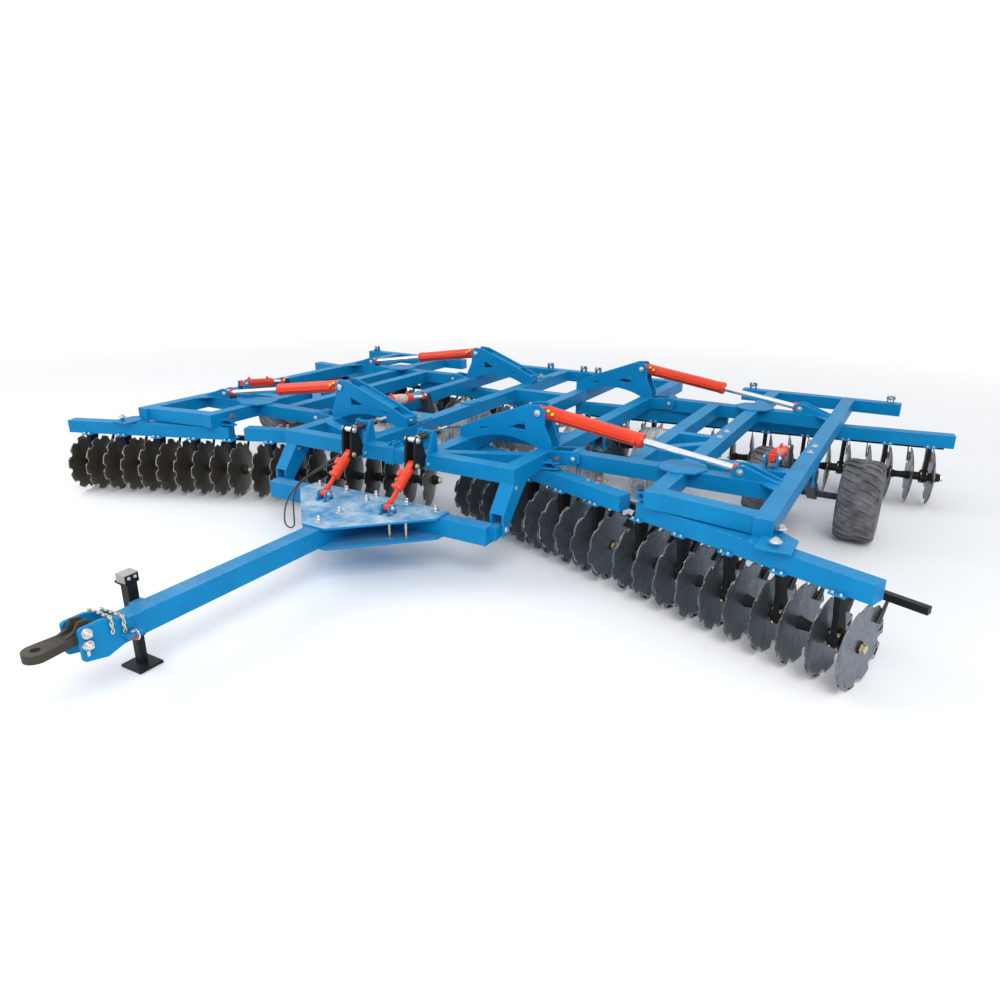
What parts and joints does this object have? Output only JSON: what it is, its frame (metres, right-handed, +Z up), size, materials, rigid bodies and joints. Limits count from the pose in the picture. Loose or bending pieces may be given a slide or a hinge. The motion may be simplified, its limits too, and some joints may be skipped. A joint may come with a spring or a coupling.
{
  "type": "folding tandem disc harrow",
  "caption": "Towed three-section tandem disc harrow with hydraulic folding wings, notched disc gangs on bearing hangers, trailing wheel pairs and a levelling drawbar.",
  "frame": {"origin": "on the floor under the middle of the machine", "axes": "+X to the machine's left, -Y to its front and hitch, +Z up"},
  "size_m": [9.8672, 8.8, 1.49],
  "materials": {
    "frame_blue": "satin enamel, dusty on top faces",
    "cylinder_orange": "gloss enamel",
    "rod_chrome": "hard chrome",
    "hanger_black": "satin black",
    "forged_black": "forged scale",
    "jack_black": "satin black",
    "disc_steel": "dark oiled boron steel",
    "arm_grey": "dark grey-blue enamel",
    "zinc": "yellow zinc",
    "tyre_rubber": "matt rubber",
    "hose_rubber": "matt black rubber",
    "rim_paint": "light grey enamel"
  },
  "bodies": {
    "root": {"centre_frame": "frame_blue", "fold_brackets": "frame_blue", "centre_gang_beams": "frame_blue", "centre_hangers": "hanger_black", "level_cranks": "hanger_black", "cushion_springs": "zinc", "hose_crank": "hose_rubber", "hose_cross": "hose_rubber"},
    "wing_left": {"wing_frame_left": "frame_blue", "wing_gang_beams_left": "frame_blue", "wing_hangers_left": "hanger_black"},
    "fold_front_barrel_left": {"fold_front_barrel_left": "cylinder_orange"},
    "fold_front_rod_left": {"fold_front_rod_left": "rod_chrome"},
    "fold_rear_barrel_left": {"fold_rear_barrel_left": "cylinder_orange"},
    "fold_rear_rod_left": {"fold_rear_rod_left": "rod_chrome"},
    "front_centre_discs_left": {"front_centre_discs_left": "disc_steel"},
    "front_wing_discs_left": {"front_wing_discs_left": "disc_steel"},
    "rear_centre_discs_left": {"rear_centre_discs_left": "disc_steel"},
    "rear_wing_discs_left": {"rear_wing_discs_left": "disc_steel"},
    "centre_wheel_arm_left": {"centre_wheel_arm_left": "arm_grey"},
    "centre_wheels_left": {"centre_tyres_left": "tyre_rubber", "centre_rims_left": "rim_paint"},
    "centre_lift_barrel_left": {"centre_lift_barrel_left": "cylinder_orange"},
    "centre_lift_rod_left": {"centre_lift_rod_left": "rod_chrome"},
    "wing_wheel_arm_left": {"wing_wheel_arm_left": "arm_grey"},
    "wing_wheels_left": {"wing_tyres_left": "tyre_rubber", "wing_rims_left": "rim_paint"},
    "wing_lift_barrel_left": {"wing_lift_barrel_left": "cylinder_orange"},
    "wing_lift_rod_left": {"wing_lift_rod_left": "rod_chrome"},
    "level_barrel_left": {"level_barrel_left": "cylinder_orange"},
    "level_rod_left": {"level_rod_left": "rod_chrome"},
    "wing_right": {"wing_frame_right": "frame_blue", "wing_gang_beams_right": "frame_blue", "wing_hangers_right": "hanger_black"},
    "fold_front_barrel_right": {"fold_front_barrel_right": "cylinder_orange"},
    "fold_front_rod_right": {"fold_front_rod_right": "rod_chrome"},
    "fold_rear_barrel_right": {"fold_rear_barrel_right": "cylinder_orange"},
    "fold_rear_rod_right": {"fold_rear_rod_right": "rod_chrome"},
    "front_centre_discs_right": {"front_centre_discs_right": "disc_steel"},
    "front_wing_discs_right": {"front_wing_discs_right": "disc_steel"},
    "rear_centre_discs_right": {"rear_centre_discs_right": "disc_steel"},
    "rear_wing_discs_right": {"rear_wing_discs_right": "disc_steel"},
    "centre_wheel_arm_right": {"centre_wheel_arm_right": "arm_grey"},
    "centre_wheels_right": {"centre_tyres_right": "tyre_rubber", "centre_rims_right": "rim_paint"},
    "centre_lift_barrel_right": {"centre_lift_barrel_right": "cylinder_orange"},
    "centre_lift_rod_right": {"centre_lift_rod_right": "rod_chrome"},
    "wing_wheel_arm_right": {"wing_wheel_arm_right": "arm_grey"},
    "wing_wheels_right": {"wing_tyres_right": "tyre_rubber", "wing_rims_right": "rim_paint"},
    "wing_lift_barrel_right": {"wing_lift_barrel_right": "cylinder_orange"},
    "wing_lift_rod_right": {"wing_lift_rod_right": "rod_chrome"},
    "level_barrel_right": {"level_barrel_right": "cylinder_orange"},
    "level_rod_right": {"level_rod_right": "rod_chrome"},
    "drawbar": {"drawbar": "frame_blue", "hitch_eye": "forged_black", "jack_tube": "jack_black", "safety_chain": "zinc"},
    "jack_leg": {"jack_leg": "jack_black"}
  },
  "joints": [
    {"name": "fold_left", "type": "hinge", "parent": "root", "child": "wing_left", "pos_m": [1.67, 1.645, 1], "axis": [0, -1, 0], "range_deg": [0, 90]},
    {"name": "fold_front_swing_left", "type": "hinge", "parent": "root", "child": "fold_front_barrel_left", "pos_m": [1.27, 0.17, 1.41], "axis": [0, -1, 0], "range_deg": [-1, 85.77]},
    {"name": "fold_front_stroke_left", "type": "slide", "parent": "fold_front_barrel_left", "child": "fold_front_rod_left", "axis": [0.9888, 0, -0.1491], "range_m": [-0.8024, 0.005]},
    {"name": "fold_rear_swing_left", "type": "hinge", "parent": "root", "child": "fold_rear_barrel_left", "pos_m": [1.27, 3.12, 1.41], "axis": [0, -1, 0], "range_deg": [-1, 85.77]},
    {"name": "fold_rear_stroke_left", "type": "slide", "parent": "fold_rear_barrel_left", "child": "fold_rear_rod_left", "axis": [0.9888, 0, -0.1491], "range_m": [-0.8024, 0.005]},
    {"name": "front_centre_spin_left", "type": "hinge", "parent": "root", "child": "front_centre_discs_left", "pos_m": [0.286, 0.475, 0.342], "axis": [0.9342, -0.3567, 0], "continuous": true},
    {"name": "front_wing_spin_left", "type": "hinge", "parent": "wing_left", "child": "front_wing_discs_left", "pos_m": [0.286, 0.475, 0.342], "axis": [0.9342, -0.3567, 0], "continuous": true},
    {"name": "rear_centre_spin_left", "type": "hinge", "parent": "root", "child": "rear_centre_discs_left", "pos_m": [0.43, 3.016, 0.342], "axis": [0.9903, 0.1392, 0], "continuous": true},
    {"name": "rear_wing_spin_left", "type": "hinge", "parent": "wing_left", "child": "rear_wing_discs_left", "pos_m": [0.43, 3.016, 0.342], "axis": [0.9903, 0.1392, 0], "continuous": true},
    {"name": "centre_lift_left", "type": "hinge", "parent": "root", "child": "centre_wheel_arm_left", "pos_m": [1.35, 1.58, 0.8], "axis": [1, 0, 0], "range_deg": [-38, 18]},
    {"name": "centre_roll_left", "type": "hinge", "parent": "centre_wheel_arm_left", "child": "centre_wheels_left", "pos_m": [1.35, 2.18, 0.436], "axis": [1, 0, 0], "continuous": true},
    {"name": "centre_lift_swing_left", "type": "hinge", "parent": "root", "child": "centre_lift_barrel_left", "pos_m": [1.12, 0.7, 1.15], "axis": [1, 0, 0], "range_deg": [-8, 8]},
    {"name": "centre_lift_stroke_left", "type": "slide", "parent": "centre_lift_barrel_left", "child": "centre_lift_rod_left", "axis": [0, 0.994, -0.1091], "range_m": [-0.0841, 0.1721]},
    {"name": "wing_lift_left", "type": "hinge", "parent": "wing_left", "child": "wing_wheel_arm_left", "pos_m": [3.665, 1.38, 0.8], "axis": [1, 0, 0], "range_deg": [-38, 18]},
    {"name": "wing_roll_left", "type": "hinge", "parent": "wing_wheel_arm_left", "child": "wing_wheels_left", "pos_m": [3.665, 1.98, 0.436], "axis": [1, 0, 0], "continuous": true},
    {"name": "wing_lift_swing_left", "type": "hinge", "parent": "wing_left", "child": "wing_lift_barrel_left", "pos_m": [3.435, 0.58, 1.15], "axis": [1, 0, 0], "range_deg": [-8, 8]},
    {"name": "wing_lift_stroke_left", "type": "slide", "parent": "wing_lift_barrel_left", "child": "wing_lift_rod_left", "axis": [0, 0.9927, -0.1207], "range_m": [-0.0839, 0.1716]},
    {"name": "level_swing_left", "type": "hinge", "parent": "root", "child": "level_barrel_left", "pos_m": [0.39, -0.85, 0.975], "axis": [1, 0, 0], "range_deg": [-12, 12]},
    {"name": "level_stroke_left", "type": "slide", "parent": "level_barrel_left", "child": "level_rod_left", "axis": [0, -0.7828, -0.6222], "range_m": [-0.0581, 0.0713]},
    {"name": "fold_right", "type": "hinge", "parent": "root", "child": "wing_right", "pos_m": [-1.67, 1.645, 1], "axis": [0, 1, 0], "range_deg": [0, 90]},
    {"name": "fold_front_swing_right", "type": "hinge", "parent": "root", "child": "fold_front_barrel_right", "pos_m": [-1.27, 0.17, 1.41], "axis": [0, 1, 0], "range_deg": [-1, 85.77]},
    {"name": "fold_front_stroke_right", "type": "slide", "parent": "fold_front_barrel_right", "child": "fold_front_rod_right", "axis": [-0.9888, 0, -0.1491], "range_m": [-0.8024, 0.005]},
    {"name": "fold_rear_swing_right", "type": "hinge", "parent": "root", "child": "fold_rear_barrel_right", "pos_m": [-1.27, 3.12, 1.41], "axis": [0, 1, 0], "range_deg": [-1, 85.77]},
    {"name": "fold_rear_stroke_right", "type": "slide", "parent": "fold_rear_barrel_right", "child": "fold_rear_rod_right", "axis": [-0.9888, 0, -0.1491], "range_m": [-0.8024, 0.005]},
    {"name": "front_centre_spin_right", "type": "hinge", "parent": "root", "child": "front_centre_discs_right", "pos_m": [-0.286, 0.475, 0.342], "axis": [-0.9342, -0.3567, 0], "continuous": true},
    {"name": "front_wing_spin_right", "type": "hinge", "parent": "wing_right", "child": "front_wing_discs_right", "pos_m": [-0.286, 0.475, 0.342], "axis": [-0.9342, -0.3567, 0], "continuous": true},
    {"name": "rear_centre_spin_right", "type": "hinge", "parent": "root", "child": "rear_centre_discs_right", "pos_m": [-0.43, 3.016, 0.342], "axis": [-0.9903, 0.1392, 0], "continuous": true},
    {"name": "rear_wing_spin_right", "type": "hinge", "parent": "wing_right", "child": "rear_wing_discs_right", "pos_m": [-0.43, 3.016, 0.342], "axis": [-0.9903, 0.1392, 0], "continuous": true},
    {"name": "centre_lift_right", "type": "hinge", "parent": "root", "child": "centre_wheel_arm_right", "pos_m": [-1.35, 1.58, 0.8], "axis": [1, 0, 0], "range_deg": [-38, 18]},
    {"name": "centre_roll_right", "type": "hinge", "parent": "centre_wheel_arm_right", "child": "centre_wheels_right", "pos_m": [-1.35, 2.18, 0.436], "axis": [1, 0, 0], "continuous": true},
    {"name": "centre_lift_swing_right", "type": "hinge", "parent": "root", "child": "centre_lift_barrel_right", "pos_m": [-1.12, 0.7, 1.15], "axis": [1, 0, 0], "range_deg": [-8, 8]},
    {"name": "centre_lift_stroke_right", "type": "slide", "parent": "centre_lift_barrel_right", "child": "centre_lift_rod_right", "axis": [0, 0.994, -0.1091], "range_m": [-0.0841, 0.1721]},
    {"name": "wing_lift_right", "type": "hinge", "parent": "wing_right", "child": "wing_wheel_arm_right", "pos_m": [-3.665, 1.38, 0.8], "axis": [1, 0, 0], "range_deg": [-38, 18]},
    {"name": "wing_roll_right", "type": "hinge", "parent": "wing_wheel_arm_right", "child": "wing_wheels_right", "pos_m": [-3.665, 1.98, 0.436], "axis": [1, 0, 0], "continuous": true},
    {"name": "wing_lift_swing_right", "type": "hinge", "parent": "wing_right", "child": "wing_lift_barrel_right", "pos_m": [-3.435, 0.58, 1.15], "axis": [1, 0, 0], "range_deg": [-8, 8]},
    {"name": "wing_lift_stroke_right", "type": "slide", "parent": "wing_lift_barrel_right", "child": "wing_lift_rod_right", "axis": [0, 0.9927, -0.1207], "range_m": [-0.0839, 0.1716]},
    {"name": "level_swing_right", "type": "hinge", "parent": "root", "child": "level_barrel_right", "pos_m": [-0.39, -0.85, 0.975], "axis": [1, 0, 0], "range_deg": [-12, 12]},
    {"name": "level_stroke_right", "type": "slide", "parent": "level_barrel_right", "child": "level_rod_right", "axis": [0, -0.7828, -0.6222], "range_m": [-0.0581, 0.0713]},
    {"name": "drawbar_pitch", "type": "hinge", "parent": "root", "child": "drawbar", "pos_m": [0, -0.82, 0.51], "axis": [1, 0, 0], "range_deg": [-8, 10]},
    {"name": "jack_slide", "type": "slide", "parent": "drawbar", "child": "jack_leg", "axis": [0, 0, 1], "range_m": [-0.08, 0.22]}
  ],
  "couplings": [
    {"joint": "fold_front_swing_left", "follows": "fold_left", "ratio": 0.94184},
    {"joint": "fold_front_stroke_left", "follows": "fold_left", "m_per_rad": -0.50762},
    {"joint": "fold_rear_swing_left", "follows": "fold_left", "ratio": 0.94184},
    {"joint": "fold_rear_stroke_left", "follows": "fold_left", "m_per_rad": -0.50762},
    {"joint": "centre_lift_swing_left", "follows": "centre_lift_left", "ratio": -0.05457},
    {"joint": "centre_lift_stroke_left", "follows": "centre_lift_left", "m_per_rad": -0.25194},
    {"joint": "wing_lift_swing_left", "follows": "wing_lift_left", "ratio": -0.06451},
    {"joint": "wing_lift_stroke_left", "follows": "wing_lift_left", "m_per_rad": -0.25126},
    {"joint": "level_swing_left", "follows": "drawbar_pitch", "ratio": 0.4667},
    {"joint": "level_stroke_left", "follows": "drawbar_pitch", "m_per_rad": 0.38011},
    {"joint": "fold_front_swing_right", "follows": "fold_right", "ratio": 0.94184},
    {"joint": "fold_front_stroke_right", "follows": "fold_right", "m_per_rad": -0.50762},
    {"joint": "fold_rear_swing_right", "follows": "fold_right", "ratio": 0.94184},
    {"joint": "fold_rear_stroke_right", "follows": "fold_right", "m_per_rad": -0.50762},
    {"joint": "centre_lift_swing_right", "follows": "centre_lift_right", "ratio": -0.05457},
    {"joint": "centre_lift_stroke_right", "follows": "centre_lift_right", "m_per_rad": -0.25194},
    {"joint": "wing_lift_swing_right", "follows": "wing_lift_right", "ratio": -0.06451},
    {"joint": "wing_lift_stroke_right", "follows": "wing_lift_right", "m_per_rad": -0.25126},
    {"joint": "level_swing_right", "follows": "drawbar_pitch", "ratio": 0.4667},
    {"joint": "level_stroke_right", "follows": "drawbar_pitch", "m_per_rad": 0.38011}
  ]
}
